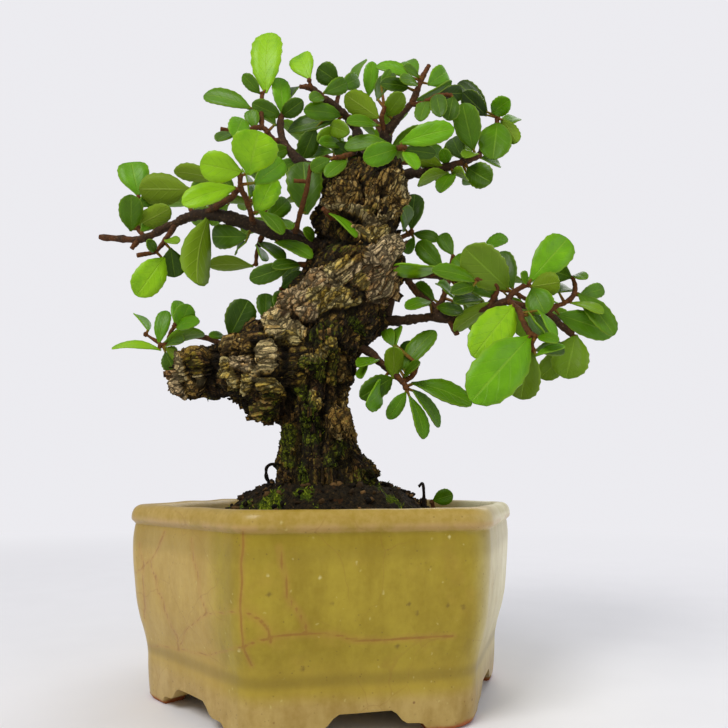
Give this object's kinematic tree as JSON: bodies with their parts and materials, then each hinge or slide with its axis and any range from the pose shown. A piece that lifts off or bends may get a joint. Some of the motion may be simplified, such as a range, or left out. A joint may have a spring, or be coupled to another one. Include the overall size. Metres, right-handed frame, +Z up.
{
  "type": "potted bonsai tree",
  "caption": "Small evergreen bonsai with a thick leaning trunk, a sawn stub limb and leafy branches, growing in a hexagonal glazed pot on low feet.",
  "frame": {"origin": "on the surface that the pot's feet stand on, under the middle of the tree's whole width and depth; the pot's own axis stands 4.2 mm to the -X side of it", "axes": "+Z up, -Y towards the tree's front, +X to the right as seen from the front"},
  "size_m": [0.1322, 0.0891, 0.1689],
  "materials": {
    "glaze": "gloss",
    "soil": "matte",
    "bark": "matte",
    "foliage": "satin",
    "dead_wood": "matte"
  },
  "bodies": {
    "root": {"pot": "glaze", "soil": "soil", "trunk": "bark", "dead_twig": "dead_wood", "spray_left": "foliage", "spray_left_low": "foliage", "spray_crown_left": "foliage", "spray_crown_top": "foliage", "spray_crown_right": "foliage", "spray_crown_low": "foliage", "spray_right": "foliage", "spray_right_low": "foliage", "spray_back_left": "foliage", "spray_back_right": "foliage", "spray_back_crown": "foliage", "shoot_shoulder": "foliage", "shoot_log": "foliage", "shoot_notch": "foliage", "shoot_stub": "foliage", "shoot_neck": "foliage", "shoot_right_neck": "foliage", "seedling": "foliage"}
  },
  "joints": []
}
